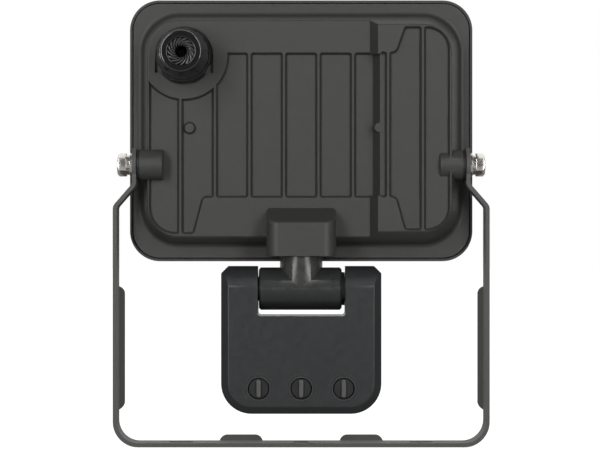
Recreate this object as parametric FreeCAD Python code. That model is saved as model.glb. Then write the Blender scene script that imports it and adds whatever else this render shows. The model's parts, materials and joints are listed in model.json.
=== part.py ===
"""Slim LED flood light with a motion sensor head, on a U bracket.

Millimetres. X runs across the lamp, +Y is the way the light leaves, +Z is up. The origin is the
centre hole of the bracket, on the underside of its bottom bar; the hinge axis of the lamp is
parallel to X at Y = 0. Every physical piece is written to its own STEP file in parts/.
"""
import FreeCAD, Part
import math
import os

# ---------------------------------------------------------------- driving dimensions
# lamp outline, centred on X = 0 and BODY_Z
BODY_Z = 156.5
FRAME_X = 85.7
FRAME_Z = 65.3
FRAME_R = 15.0
FRAME_EDGE = 1.25        # edge of the frame that shows round the rear casting
NEST_GAP = 0.6           # gap between front frame and rear casting
RIM_X = FRAME_X - FRAME_EDGE - NEST_GAP
RIM_Z = FRAME_Z - FRAME_EDGE - NEST_GAP
RIM_R = FRAME_R - FRAME_EDGE - NEST_GAP
WINDOW_X = 73.5          # opening of the front frame
WINDOW_Z = 53.1
WINDOW_R = 6.0

# depth of the lamp, back to front
HIGH_DECK = -6.9         # back of the driver bay
LOW_DECK = -0.4          # back of the part over the LED board
FLANGE_BACK = 9.6
FRAME_BACK = 11.0
RIM_FRONT = 15.6
FRONT_FACE = 23.6
POCKET_DEPTH = 2.2
POCKET_DRAFT = 1.1       # how far a pocket wall leans in over its depth
LED_SEAT = 4.2           # inner floor that the LED board is screwed to
BAY_FLOOR = -2.4         # inner floor of the driver bay

# raised back of the casting
FOOT_X = 79.4
FOOT_LOW, FOOT_HIGH = 99.5, 214.5
DECK_X = 74.2
DECK_LOW, DECK_HIGH = 105.9, 208.2
FOOT_R = 18.5
DECK_R = 14.0
STEP_FOOT_X, STEP_TOP_X = 34.0, 37.8
BAY_STEP_X = 40.0        # everything beyond this is clear of the step
DECK_EDGE_R = 1.2
FOOT_EDGE_R = 2.5
FLOOR_STEP_FOOT_X, FLOOR_STEP_TOP_X = 35.6, 38.8
RIB_PITCH = 17.1
RIB_WIDTH = 1.0
MAIN_LOW, MAIN_HIGH = 122.8, 194.8
LEFT_LOW = 104.8
RIGHT_LOW, RIGHT_HIGH = 106.7, 207.2

# cable gland
GLAND_X, GLAND_Z = -58.0, 193.2
PAD_R = 21.3
SEAT_R = 14.4
SEAT_DEPTH = 2.2
GASKET = 1.0
GLAND_THREAD_R = 10.0
GLAND_BORE_R = 6.4
CABLE_R = 3.2
GLAND_TIP = -28.0
FINGERS = 16

# hinge
PIVOT_Z = 139.1
BOSS_R = 7.5
BOSS_INNER_X, BOSS_OUTER_X = 68.3, 79.8
EAR_INNER_X = 81.3
SHEET = 2.0              # thickness of the bracket
BOLT_R = 3.0
BOLT_AF = 10.0
RUN = 0.06               # radial clearance of the running fits
HEAD_LENGTH = 4.5

# bracket
LEG_X = 92.7
STRAP_HALF = 7.0
EAR_R = 8.4
BEND_TOP, BEND_LOW = 129.6, 118.8
CORNER_R = 12.5
SLOT_X = 59.4
SLOT_LENGTH = 12.0
SLOT_HALF = 2.75
BRACKET_HOLE_R = 3.75

# sensor carrier block, arm and head
BLOCK_X = 17.1
BLOCK_LOW, BLOCK_HIGH, BLOCK_FRONT_TOP = 94.2, 117.8, 110.8
BLOCK_FRONT = -16.4
ARM_Y = -3.4             # pan axis and tilt axis lie in this plane
BARREL_Z = 77.95
NECK_R = BARREL_R = 10.5
BARREL_LEFT, BARREL_RIGHT = -20.8, 19.9
STUB_R = 7.0
AXLE_R = 6.0
ARM_BORE_R = 3.8
SLOT_LEFT, SLOT_RIGHT = -21.3, 21.6
SLOT_FLOOR = 64.8
HEAD_X = 39.3
HEAD_LOW, HEAD_HIGH = 16.8, 89.2
HEAD_BACK = -14.4
HEAD_FRONT = 12.0
HEAD_WALL = 2.2
HEAD_BAND = 3.6          # 45-degree edge band round the back of the head
EAR_BACK_R = 11.0
EAR_FRONT_R = 11.2
POST_LENGTH = 9.0        # bearings inside the ears, beside the slot
DIAL_X = 20.8
DIAL_Z = 29.5
DIAL_R = 5.0
DIAL_DEPTH = 1.0         # face of the dials below the back of the head
DIAL_DISC = 1.2
COLLAR_R = 6.3
DIAL_SHAFT_R = 2.0
LENS_X = 29.4
LENS_LOW, LENS_HIGH = 22.8, 59.2
LENS_BULGE = 15.0


# ---------------------------------------------------------------- geometry helpers
def vec(x, y, z):
    return FreeCAD.Vector(x, y, z)


X_AXIS, Y_AXIS, Z_AXIS = vec(1, 0, 0), vec(0, 1, 0), vec(0, 0, 1)


def box_corners(x0, x1, z0, z1):
    return [(x0, z0), (x1, z0), (x1, z1), (x0, z1)]


def turn_of(before, here, after):
    """Unit edge directions at a corner and the sine of the turn (positive where convex)."""
    first = FreeCAD.Vector(here[0] - before[0], here[1] - before[1], 0).normalize()
    second = FreeCAD.Vector(after[0] - here[0], after[1] - here[1], 0).normalize()
    return first, second, first.x * second.y - first.y * second.x


def inset(points, radii, distance):
    """Move every side of a counter-clockwise outline inward; round corners keep their centres."""
    moved = []
    new_radii = []
    count = len(points)
    for i in range(count):
        first, second, turn = turn_of(points[i - 1], points[i], points[(i + 1) % count])
        across = FreeCAD.Vector(-first.y - second.y, first.x + second.x, 0)
        scale = distance / (1 + first.dot(second))
        moved.append((points[i][0] + across.x * scale, points[i][1] + across.y * scale))
        shift = distance if turn > 0 else -distance
        new_radii.append(max(radii[i] - shift, 0.2))
    return moved, new_radii


def outline(points, radii, place):
    """Closed wire through the points, each corner rounded; place turns (u, v) into a 3-D point."""
    count = len(points)
    corners = []
    for i in range(count):
        first, second, _ = turn_of(points[i - 1], points[i], points[(i + 1) % count])
        half = (math.pi - first.getAngle(second)) / 2
        here = FreeCAD.Vector(points[i][0], points[i][1], 0)
        run = radii[i] / math.tan(half)
        inward = (second - first).normalize()
        middle = here + inward * (radii[i] / math.sin(half) - radii[i])
        corners.append((here - first * run, middle, here + second * run))
    edges = []
    for i in range(count):
        start, middle, end = [place(p.x, p.y) for p in corners[i]]
        following = corners[(i + 1) % count][0]
        if radii[i] > 0:
            edges.append(Part.Arc(start, middle, end).toShape())
        edges.append(Part.makeLine(end, place(following.x, following.y)))
    return Part.Wire(edges)


def wire_xz(points, radii, y):
    return outline(points, radii, lambda u, v: vec(u, y, v))


def prism(points, radii, y0, y1):
    """Plate with an XZ outline between two Y planes."""
    return Part.Face(wire_xz(points, radii, y0)).extrude(vec(0, y1 - y0, 0))


def prism_x(points, radii, x0, x1):
    """Solid with a YZ outline between two X planes."""
    wire = outline(points, radii, lambda u, v: vec(x0, u, v))
    return Part.Face(wire).extrude(vec(x1 - x0, 0, 0))


def prism_z(points, radii, z0, z1):
    """Solid with an XY outline between two Z planes."""
    wire = outline(points, radii, lambda u, v: vec(u, v, z0))
    return Part.Face(wire).extrude(vec(0, 0, z1 - z0))


def taper(low_points, low_radii, y0, high_points, high_radii, y1):
    wires = [wire_xz(low_points, low_radii, y0), wire_xz(high_points, high_radii, y1)]
    return Part.makeLoft(wires, True, True)


def block(x0, x1, y0, y1, z0, z1):
    return Part.makeBox(x1 - x0, y1 - y0, z1 - z0, vec(x0, y0, z0))


def rod(radius, length, start, direction):
    return Part.makeCylinder(radius, length, start, direction)


def ring(outer, inner, length, start, direction):
    return rod(outer, length, start, direction).cut(rod(inner, length, start, direction))


def turned(profile, centre, direction):
    """Solid of revolution from (radius, distance along the axis) pairs."""
    points = [vec(r, 0, d) for r, d in profile]
    points.append(points[0])
    solid = Part.Face(Part.makePolygon(points)).revolve(vec(0, 0, 0), Z_AXIS, 360)
    solid.Placement = FreeCAD.Placement(centre, FreeCAD.Rotation(Z_AXIS, direction))
    return solid


def hexagon(across_flats, x0, x1, y, z, turn=0):
    """Hexagonal bar along X."""
    radius = across_flats / math.sqrt(3)
    points = []
    for i in range(7):
        angle = math.radians(60 * i + turn)
        points.append(vec(x0, y + radius * math.cos(angle), z + radius * math.sin(angle)))
    return Part.Face(Part.makePolygon(points)).extrude(vec(x1 - x0, 0, 0))


def fuse(shapes):
    return shapes[0].multiFuse(shapes[1:]).removeSplitter()


def group(shapes):
    return Part.makeCompound([solid for shape in shapes for solid in shape.Solids])


def mirrored(shape):
    return shape.mirror(vec(0, 0, 0), X_AXIS)


def both_sides(shape):
    return group([shape, mirrored(shape)])


def save(name, shape):
    solids = shape.Solids
    for solid in solids:
        if not solid.isValid() or solid.Volume <= 0:
            raise RuntimeError("bad solid in " + name)
    result = solids[0] if len(solids) == 1 else Part.makeCompound(solids)
    result.exportStep("parts/" + name + ".step")
    print(name, len(solids), "solid(s)", round(result.Volume), "mm3")


# ---------------------------------------------------------------- rear casting
def pocket(points, radii, deck):
    """Cutter for a pocket with leaning walls, starting a little above the deck."""
    over = 0.5
    lean = POCKET_DRAFT / POCKET_DEPTH
    high_points, high_radii = inset(points, radii, -over * lean)
    low_points, low_radii = inset(points, radii, POCKET_DRAFT)
    return taper(high_points, high_radii, deck - over, low_points, low_radii, deck + POCKET_DEPTH)


def lower_floor(points, radii, low, high):
    """Cutter that takes a pocket of the driver bay a little deeper between two heights."""
    points, radii = inset(points, radii, POCKET_DRAFT + 0.05)
    floor = HIGH_DECK + POCKET_DEPTH + 0.2
    return prism(points, radii, HIGH_DECK, floor).common(block(0, DECK_X, HIGH_DECK, floor, low, high))


def gland_pad():
    """Uncut round island that the pockets leave around the cable gland."""
    over = 0.5
    slope = POCKET_DRAFT / POCKET_DEPTH
    start = LOW_DECK - over
    length = POCKET_DEPTH + 2 * over
    top = PAD_R - over * slope
    return Part.makeCone(top, top + length * slope, length, vec(GLAND_X, start, GLAND_Z), Y_AXIS)


def pockets():
    half = RIB_WIDTH / 2
    small = 1.4
    cutters = []
    for i in range(-1, 2):
        left = RIB_PITCH * (i - 0.5) + half
        right = RIB_PITCH * (i + 0.5) - half
        cutters.append(pocket(box_corners(left, right, MAIN_LOW, MAIN_HIGH), [small] * 4, LOW_DECK))
    pad = gland_pad()
    left_most = -DECK_X - 1.3
    outer_rib = -3.5 * RIB_PITCH
    inner_rib = -2.5 * RIB_PITCH
    last_rib = -1.5 * RIB_PITCH
    top = GLAND_Z + 5
    first = pocket(box_corners(left_most, outer_rib - half, LEFT_LOW, top),
                   [13.4, small, small, small], LOW_DECK)
    second = pocket([(outer_rib + half, LEFT_LOW), (-53.0, LEFT_LOW), (-48.3, MAIN_LOW),
                     (inner_rib - half, MAIN_LOW), (inner_rib - half, top), (outer_rib + half, top)],
                    [small, 2.0, 2.0, small, small, small], LOW_DECK)
    third = pocket(box_corners(inner_rib + half, last_rib - half, MAIN_LOW, MAIN_HIGH),
                   [small] * 4, LOW_DECK)
    for cutter in (first, second, third):
        cutters.append(cutter.cut(pad))
    # pocket that climbs the step
    rib = 1.5 * RIB_PITCH
    far_rib = 2.5 * RIB_PITCH
    cutters.append(pocket(box_corners(rib + half, 35.0, MAIN_LOW, MAIN_HIGH), [small] * 4, LOW_DECK))
    cutters.append(pocket(box_corners(38.9, far_rib - half, MAIN_LOW, MAIN_HIGH), [small] * 4,
                          HIGH_DECK))
    low_floor = LOW_DECK + POCKET_DEPTH
    high_floor = HIGH_DECK + POCKET_DEPTH
    above = HIGH_DECK - 2
    ramp = [(30.0, above), (40.6, above), (40.6, high_floor), (FLOOR_STEP_TOP_X, high_floor),
            (FLOOR_STEP_FOOT_X, low_floor), (30.0, low_floor)]
    cutters.append(prism_z(ramp, [0] * 6, MAIN_LOW + POCKET_DRAFT, MAIN_HIGH - POCKET_DRAFT))
    # two tall pockets over the driver bay
    bay_rib = 3.5 * RIB_PITCH
    inner = [(far_rib + half, MAIN_LOW), (46.4, MAIN_LOW), (50.8, RIGHT_LOW),
             (bay_rib - half, RIGHT_LOW), (bay_rib - half, RIGHT_HIGH), (50.8, RIGHT_HIGH),
             (46.4, MAIN_HIGH), (far_rib + half, MAIN_HIGH)]
    inner_radii = [small, 2.5, 2.0, small, small, 2.0, 2.5, small]
    outer = box_corners(bay_rib + half, DECK_X - 0.9, RIGHT_LOW, RIGHT_HIGH)
    outer_radii = [small, 11.3, 11.3, small]
    cutters.append(pocket(inner, inner_radii, HIGH_DECK))
    cutters.append(pocket(outer, outer_radii, HIGH_DECK))
    cutters.append(lower_floor(inner, inner_radii, MAIN_LOW + 0.5, 197.6))
    cutters.append(lower_floor(outer, outer_radii, 152.0, 162.1))
    return cutters


def ejector_bosses():
    low_floor = LOW_DECK + POCKET_DEPTH
    left = Part.makeCone(3.2, 2.2, POCKET_DEPTH, vec(-55.3, low_floor, 157.4), vec(0, -1, 0))
    root = low_floor + 1
    right = Part.makeCone(3.6, 2.3, root - HIGH_DECK - POCKET_DEPTH + 0.4, vec(38.6, root, 157.4),
                          vec(0, -1, 0))
    return [left, right]


def sensor_block():
    """D-shaped block under the back that carries the sensor arm, with a sloping top."""
    side = [(BLOCK_FRONT, BLOCK_LOW), (FLANGE_BACK, BLOCK_LOW), (FLANGE_BACK, BLOCK_HIGH),
            (LOW_DECK, BLOCK_HIGH), (BLOCK_FRONT, BLOCK_FRONT_TOP)]
    plan = [(-BLOCK_X, BLOCK_FRONT), (BLOCK_X, BLOCK_FRONT), (BLOCK_X, FLANGE_BACK),
            (-BLOCK_X, FLANGE_BACK)]
    profile = prism_x(side, [0, 0, 0, 0, 0], -BLOCK_X, BLOCK_X)
    solid = profile.common(prism_z(plan, [6.5, 6.5, 0, 0], BLOCK_LOW - 1, BLOCK_HIGH + 1))
    shoulder = [e for e in solid.Edges if e.BoundBox.YMin < LOW_DECK - 0.5 and e.BoundBox.ZMin > BLOCK_LOW + 1
                and e.BoundBox.XLength > 0.1]
    return solid.makeFillet(1.8, shoulder)


def hinge_boss():
    length = BOSS_OUTER_X - BOSS_INNER_X
    barrel = rod(BOSS_R, length, vec(BOSS_INNER_X, 0, PIVOT_Z), X_AXIS)
    web = block(BOSS_INNER_X, BOSS_OUTER_X, 0, FLANGE_BACK + 0.5, PIVOT_Z - BOSS_R, PIVOT_Z + BOSS_R)
    solid = barrel.fuse(web)
    rims = [e for e in solid.Edges if e.BoundBox.XMax < BOSS_INNER_X + 0.01 and e.BoundBox.YMin < -1]
    return solid.makeFillet(0.8, rims)


def screw_places():
    corner_x, corner_z = FRAME_X - 8.2, FRAME_Z - 8.2
    places = [(sx * corner_x, BODY_Z + sz * corner_z) for sx in (-1, 1) for sz in (-1, 1)]
    return places + [(0, BODY_Z - FRAME_Z + 4.8), (0, BODY_Z + FRAME_Z - 4.8)]


def led_screw_places():
    return [(sx * 36.5, BODY_Z + sz * 27.0) for sx in (-1, 1) for sz in (-1, 1)]


def driver_screw_places():
    return [(x, z) for x in (45.2, 68.4) for z in (116.0, 197.0)]


def lies_at(edge, y):
    return abs(edge.BoundBox.YMin - y) < 0.01 and abs(edge.BoundBox.YMax - y) < 0.01


def stepped_deck():
    """Raised back on its flange, with a rounded rim and a wide fillet round its foot."""
    foot = box_corners(-FOOT_X, FOOT_X, FOOT_LOW, FOOT_HIGH)
    top = box_corners(-DECK_X, DECK_X, DECK_LOW, DECK_HIGH)
    deck = taper(foot, [FOOT_R] * 4, FLANGE_BACK, top, [DECK_R] * 4, HIGH_DECK)
    reach = 120.0
    above = HIGH_DECK - 5
    low_side = [(-reach, above), (STEP_TOP_X, above), (STEP_TOP_X, HIGH_DECK),
                (STEP_FOOT_X, LOW_DECK), (-reach, LOW_DECK)]
    deck = deck.cut(prism_z(low_side, [0] * 5, 0, 2 * reach))
    rim_edges = [e for e in deck.Edges if lies_at(e, LOW_DECK) or lies_at(e, HIGH_DECK)]
    rim_edges = [e for e in rim_edges if e.BoundBox.XLength > 0.01 or abs(e.BoundBox.XMin) > BAY_STEP_X]
    deck = deck.makeFillet(DECK_EDGE_R, rim_edges)
    flange = prism(box_corners(-RIM_X, RIM_X, BODY_Z - RIM_Z, BODY_Z + RIM_Z), [RIM_R] * 4,
                   FLANGE_BACK, RIM_FRONT)
    base = fuse([flange, deck])
    around_foot = FreeCAD.BoundBox(-FOOT_X - 0.5, FLANGE_BACK - 0.5, FOOT_LOW - 0.5,
                                   FOOT_X + 0.5, FLANGE_BACK + 0.5, FOOT_HIGH + 0.5)
    foot_edges = [e for e in base.Edges if around_foot.isInside(e.BoundBox)]
    return base.makeFillet(FOOT_EDGE_R, foot_edges)


def rear_housing():
    deck = stepped_deck().cut(Part.makeCompound(pockets()))
    boss = hinge_boss()
    shell = fuse([deck, sensor_block(), boss, mirrored(boss)] + ejector_bosses())
    # inside
    hollow = [prism(box_corners(-73.0, 73.0, BODY_Z - 52.6, BODY_Z + 52.6), [6.0] * 4,
                    LED_SEAT, RIM_FRONT + 1),
              prism(box_corners(41.2, 71.6, 111.0, 202.0), [4.0] * 4, BAY_FLOOR, LED_SEAT + 1),
              block(-11, 11, -12.8, LED_SEAT + 1, 104.7, 109.6)]
    # gland seat: a round recess with straight cheeks, and the threaded way through
    cheek = 8.5
    hollow.append(rod(SEAT_R, 6, vec(GLAND_X, LOW_DECK + SEAT_DEPTH - 6, GLAND_Z), Y_AXIS))
    hollow.append(block(GLAND_X - SEAT_R, GLAND_X + SEAT_R, LOW_DECK - 1, LOW_DECK + SEAT_DEPTH,
                        GLAND_Z - cheek, GLAND_Z))
    hollow.append(rod(GLAND_THREAD_R + 0.15, 12, vec(GLAND_X, LOW_DECK - 2, GLAND_Z), Y_AXIS))
    # arm bearing
    hollow.append(rod(STUB_R + RUN, 14, vec(0, ARM_Y, BLOCK_LOW - 2), Z_AXIS))
    # threaded holes for the hinge bolts, frame screws and board screws
    for side in (-1, 1):
        hollow.append(rod(BOLT_R, 10, vec(side * BOSS_OUTER_X, 0, PIVOT_Z), vec(-side, 0, 0)))
    for x, z in screw_places():
        hollow.append(rod(1.3, 5, vec(x, RIM_FRONT - 5, z), Y_AXIS))
    for x, z in led_screw_places():
        hollow.append(rod(1.3, 2, vec(x, LED_SEAT - 2, z), Y_AXIS))
    shell = shell.cut(Part.makeCompound(hollow))
    posts = [ring(2.6, 1.3, 2.6, vec(x, BAY_FLOOR, z), Y_AXIS) for x, z in driver_screw_places()]
    return fuse([shell] + posts)


# ---------------------------------------------------------------- front of the lamp
def front_frame():
    body = prism(box_corners(-FRAME_X, FRAME_X, BODY_Z - FRAME_Z, BODY_Z + FRAME_Z),
                 [FRAME_R] * 4, FRAME_BACK, FRONT_FACE)
    front_edges = [e for e in body.Edges if e.BoundBox.YMin > FRONT_FACE - 0.01]
    body = body.makeFillet(2.0, front_edges)
    nest = prism(box_corners(-RIM_X - NEST_GAP, RIM_X + NEST_GAP, BODY_Z - RIM_Z - NEST_GAP,
                             BODY_Z + RIM_Z + NEST_GAP),
                 [RIM_R + NEST_GAP] * 4, FRAME_BACK - 1, RIM_FRONT)
    glass_room = prism(box_corners(-WINDOW_X - 3.4, WINDOW_X + 3.4, BODY_Z - WINDOW_Z - 3.4,
                                   BODY_Z + WINDOW_Z + 3.4), [8.4] * 4, RIM_FRONT - 1, 21.0)
    window = prism(box_corners(-WINDOW_X, WINDOW_X, BODY_Z - WINDOW_Z, BODY_Z + WINDOW_Z),
                   [WINDOW_R] * 4, 20, FRONT_FACE + 1)
    frame = body.cut(Part.makeCompound([nest, glass_room, window]))
    holes = []
    for x, z in screw_places():
        holes.append(rod(1.7, 12, vec(x, RIM_FRONT - 1, z), Y_AXIS))
        holes.append(rod(2.9, 3, vec(x, FRONT_FACE - 2.2, z), Y_AXIS))
    return frame.cut(Part.makeCompound(holes))


def frame_screws():
    screws = []
    for x, z in screw_places():
        profile = [(0, 0), (1.25, 0), (1.25, 10.2), (2.6, 10.2), (2.6, 11.4), (2.2, 12.0), (0, 12.0)]
        screw = turned(profile, vec(x, FRONT_FACE - 2.2 - 10.2, z), Y_AXIS)
        slot = block(x - 1.5, x + 1.5, FRONT_FACE - 1.2, FRONT_FACE, z - 0.3, z + 0.3)
        cross = block(x - 0.3, x + 0.3, FRONT_FACE - 1.2, FRONT_FACE, z - 1.5, z + 1.5)
        screws.append(screw.cut(slot.fuse(cross)))
    return group(screws)


def front_glass():
    grow = 3.0
    return prism(box_corners(-WINDOW_X - grow, WINDOW_X + grow, BODY_Z - WINDOW_Z - grow,
                             BODY_Z + WINDOW_Z + grow), [8.0] * 4, 16.8, 20.8)


def glass_gasket():
    grow = 3.0
    outer = prism(box_corners(-WINDOW_X - grow, WINDOW_X + grow, BODY_Z - WINDOW_Z - grow,
                              BODY_Z + WINDOW_Z + grow), [8.0] * 4, RIM_FRONT, 16.8)
    return outer.cut(prism(box_corners(-WINDOW_X, WINDOW_X, BODY_Z - WINDOW_Z, BODY_Z + WINDOW_Z),
                           [WINDOW_R] * 4, RIM_FRONT - 1, 18))


def reflector():
    """Dished white sheet from the edge of the window down to the LED board."""
    rim_points = box_corners(-72.6, 72.6, BODY_Z - 52.2, BODY_Z + 52.2)
    well_points = box_corners(-39.5, 39.5, BODY_Z - 30.0, BODY_Z + 30.0)
    rim_y, well_y, wall = 15.0, 7.6, 0.8
    outer = taper(rim_points, [6.0] * 4, rim_y, well_points, [4.0] * 4, well_y)
    inner = taper(rim_points, [6.0] * 4, rim_y + wall, well_points, [4.0] * 4, well_y + wall)
    throat = prism(inset(well_points, [4.0] * 4, 0.6)[0], [3.4] * 4, well_y - 1, well_y + 3)
    lip = prism(rim_points, [6.0] * 4, rim_y, rim_y + wall)
    return outer.fuse(lip).cut(inner).cut(throat).removeSplitter()


def led_board():
    plate = prism(box_corners(-39.5, 39.5, BODY_Z - 30.0, BODY_Z + 30.0), [2.0] * 4,
                  LED_SEAT, LED_SEAT + 1.6)
    holes = [rod(1.7, 4, vec(x, LED_SEAT - 1, z), Y_AXIS) for x, z in led_screw_places()]
    return plate.cut(Part.makeCompound(holes))


def led_chips():
    chips = []
    for column in range(8):
        for row in range(6):
            x = (column - 3.5) * 8.4
            z = BODY_Z + (row - 2.5) * 8.4
            chip = block(x - 1.75, x + 1.75, LED_SEAT + 1.6, LED_SEAT + 2.4, z - 1.4, z + 1.4)
            dish = block(x - 1.3, x + 1.3, LED_SEAT + 2.2, LED_SEAT + 2.5, z - 1.0, z + 1.0)
            chips.append(chip.cut(dish))
    return group(chips)


def pan_screw(x, y, z, length):
    """Pan-head screw whose head sits on the plane Y = y and faces +Y."""
    profile = [(0, -length), (1.25, -length), (1.25, 0), (2.5, 0), (2.5, 0.7), (1.9, 1.3), (0, 1.3)]
    return turned(profile, vec(x, y, z), Y_AXIS)


def led_board_screws():
    return group([pan_screw(x, LED_SEAT + 1.6, z, 3.4) for x, z in led_screw_places()])


# ---------------------------------------------------------------- driver
BOARD_BACK = BAY_FLOOR + 2.6
BOARD_FRONT = BOARD_BACK + 1.2


def driver_board():
    plate = prism(box_corners(42.4, 70.8, 113.0, 200.0), [1.5] * 4, BOARD_BACK, BOARD_FRONT)
    holes = [rod(1.6, 4, vec(x, BOARD_BACK - 1, z), Y_AXIS) for x, z in driver_screw_places()]
    return plate.cut(Part.makeCompound(holes))


def driver_board_screws():
    return group([pan_screw(x, BOARD_FRONT, z, 3.4) for x, z in driver_screw_places()])


def driver_transformer():
    core = block(52.0, 66.0, BOARD_FRONT, BOARD_FRONT + 6.2, 146.0, 162.0)
    coil = prism(box_corners(54.0, 64.0, 143.5, 164.5), [2.0] * 4, BOARD_FRONT, BOARD_FRONT + 5.4)
    return core.fuse(coil).removeSplitter()


def driver_capacitors():
    """Two electrolytic capacitors that lie on the board, with a rolled groove near one end."""
    cans = []
    for x, radius, length in ((62.5, 3.4, 20.0), (54.0, 3.0, 16.0)):
        groove = radius - 0.4
        profile = [(0, 0), (radius - 0.3, 0), (radius, 0.3), (radius, 1.6), (groove, 2.2),
                   (radius, 2.8), (radius, length - 0.3), (radius - 0.3, length), (0, length)]
        cans.append(turned(profile, vec(x, BOARD_FRONT + radius, 170.0), Z_AXIS))
    return group(cans)


def driver_rectifier():
    chips = [block(48.0, 53.0, BOARD_FRONT, BOARD_FRONT + 2.6, 124.0, 128.6),
             block(57.0, 63.0, BOARD_FRONT, BOARD_FRONT + 1.8, 126.0, 131.0)]
    return group(chips)


# ---------------------------------------------------------------- mains side
TERMINAL_X = -62.8
TERMINAL_PITCH = 6.3


def terminal_block():
    base = block(-66.0, -47.0, LED_SEAT, LED_SEAT + 4.6, 150.0, 164.0)
    slots = []
    for i in range(3):
        x = TERMINAL_X + i * TERMINAL_PITCH
        slots.append(rod(1.5, 2.2, vec(x, LED_SEAT + 2.6, 157.0), Y_AXIS))
        slots.append(rod(1.2, 15, vec(x, LED_SEAT + 2.0, 149.5), Z_AXIS))
    return base.cut(Part.makeCompound(slots))


def lead(points, radius):
    """Insulated wire along straight runs joined by tangent arcs."""
    edges = []
    bends = []
    for i in range(1, len(points) - 1):
        here = points[i]
        before = (points[i - 1] - here)
        after = (points[i + 1] - here)
        run = 0.45 * min(before.Length, after.Length)
        before.normalize()
        after.normalize()
        half = before.getAngle(after) / 2
        bend = run * math.tan(half)
        inward = (before + after).normalize()
        middle = here + inward * (bend / math.sin(half) - bend)
        bends.append((here + before * run, middle, here + after * run))
    start = points[0]
    for first, middle, last in bends:
        edges.append(Part.makeLine(start, first))
        edges.append(Part.Arc(first, middle, last).toShape())
        start = last
    edges.append(Part.makeLine(start, points[-1]))
    path = Part.Wire(edges)
    section = Part.Wire([Part.Circle(points[0], points[1] - points[0], radius).toShape()])
    return path.makePipeShell([section], True, False)


def mains_leads():
    """Three cores from the terminal block, under the reflector, to the edge of the driver board."""
    leads = []
    level = LED_SEAT + 2.0
    end_x = 44.0
    for i in range(3):
        x = TERMINAL_X + i * TERMINAL_PITCH
        low = 119.8 + i * 2.1
        leads.append(lead([vec(x, level, 152.0), vec(x, level, low), vec(end_x, level, low),
                           vec(end_x, BOARD_FRONT, low)], 0.9))
    return group(leads)


def led_leads():
    leads = []
    level = LED_SEAT + 2.4
    for z in (176.0, 179.0):
        leads.append(lead([vec(37.0, level, z), vec(44.0, level, z), vec(44.0, BOARD_FRONT, z)], 0.7))
    return group(leads)


# ---------------------------------------------------------------- cable gland
def along_gland(y):
    return vec(GLAND_X, y, GLAND_Z)


HEX_BACK = LOW_DECK - 6.2


def gland_body():
    """Threaded shank, rounded hexagon, collar and the clamping fingers that grip the cable."""
    flats = []
    half = 13.4
    for i in range(7):
        angle = math.radians(60 * i)
        reach = half / math.cos(math.radians(30))
        flats.append(along_gland(HEX_BACK) + vec(reach * math.cos(angle), 0, reach * math.sin(angle)))
    depth = LOW_DECK + SEAT_DEPTH - GASKET - HEX_BACK
    hexagon_bar = Part.Face(Part.makePolygon(flats)).extrude(vec(0, depth, 0))
    rounding = turned([(0, 0), (13.0, 0), (13.8, 0.8), (13.8, depth), (0, depth)],
                      along_gland(HEX_BACK), Y_AXIS)
    head = hexagon_bar.common(rounding)
    shank = rod(GLAND_THREAD_R, 9.0, along_gland(LOW_DECK - 0.2), Y_AXIS)
    collar = rod(9.2, 7.0, along_gland(HEX_BACK - 7.0), Y_AXIS)
    body = fuse([head, shank, collar]).cut(rod(GLAND_BORE_R, 40, along_gland(-26), Y_AXIS))
    fingers = []
    root_y = HEX_BACK - 7.0
    tip_y = GLAND_TIP + 3.2
    for i in range(FINGERS):
        blade = block(GLAND_X + 3.6, GLAND_X + 7.3, tip_y, root_y + 0.5, GLAND_Z - 0.45, GLAND_Z + 0.45)
        lean_pivot = along_gland(0) + vec(6.4, 0, 0)
        blade.rotate(lean_pivot, Y_AXIS, 38)
        blade.rotate(along_gland(0), Y_AXIS, 360.0 * i / FINGERS)
        fingers.append(blade)
    sleeve = ring(7.8, GLAND_BORE_R, root_y - tip_y - 1.0, along_gland(tip_y + 1.0), Y_AXIS)
    comb = fuse([sleeve] + fingers).common(rod(7.2, 40, along_gland(-40), Y_AXIS))
    return body.fuse(comb).cut(rod(3.5, 60, along_gland(-40), Y_AXIS)).removeSplitter()


def gland_dome_nut():
    skirt = HEX_BACK - 0.3
    outer = [(12.3, skirt), (12.6, skirt - 0.6), (12.6, skirt - 7.4), (11.8, skirt - 8.6),
             (9.9, GLAND_TIP + 1.6), (9.4, GLAND_TIP + 0.4), (8.8, GLAND_TIP), (6.9, GLAND_TIP),
             (6.4, GLAND_TIP + 0.6), (6.4, GLAND_TIP + 1.6), (7.8, GLAND_TIP + 4.2),
             (9.4, GLAND_TIP + 8.0), (9.4, skirt)]
    solid = turned([(r, y - GLAND_TIP) for r, y in outer], along_gland(GLAND_TIP), Y_AXIS)
    grooves = []
    for i in range(12):
        groove = rod(1.1, 9.0, along_gland(skirt - 8.4) + vec(13.3, 0, 0), Y_AXIS)
        groove.rotate(along_gland(0), Y_AXIS, 30.0 * i + 15)
        grooves.append(groove)
    return solid.cut(Part.makeCompound(grooves))


def gland_seal():
    length = 8.0
    front = HEX_BACK - 6.0
    profile = [(CABLE_R, 0), (5.6, 0), (6.3, 0.7), (6.3, length), (CABLE_R + 0.4, length),
               (CABLE_R, length - 0.4)]
    return turned(profile, along_gland(front), Y_AXIS)


def gland_gasket():
    return ring(13.0, GLAND_THREAD_R + 0.2, GASKET, along_gland(LOW_DECK + SEAT_DEPTH - GASKET), Y_AXIS)


def gland_locknut():
    points = []
    reach = 12.4 / math.cos(math.radians(30))
    for i in range(7):
        angle = math.radians(60 * i + 30)
        points.append(vec(GLAND_X + reach * math.cos(angle), LED_SEAT, GLAND_Z + reach * math.sin(angle)))
    nut = Part.Face(Part.makePolygon(points)).extrude(vec(0, 3.2, 0))
    return nut.cut(rod(GLAND_THREAD_R, 8, along_gland(LED_SEAT - 1), Y_AXIS))


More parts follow.
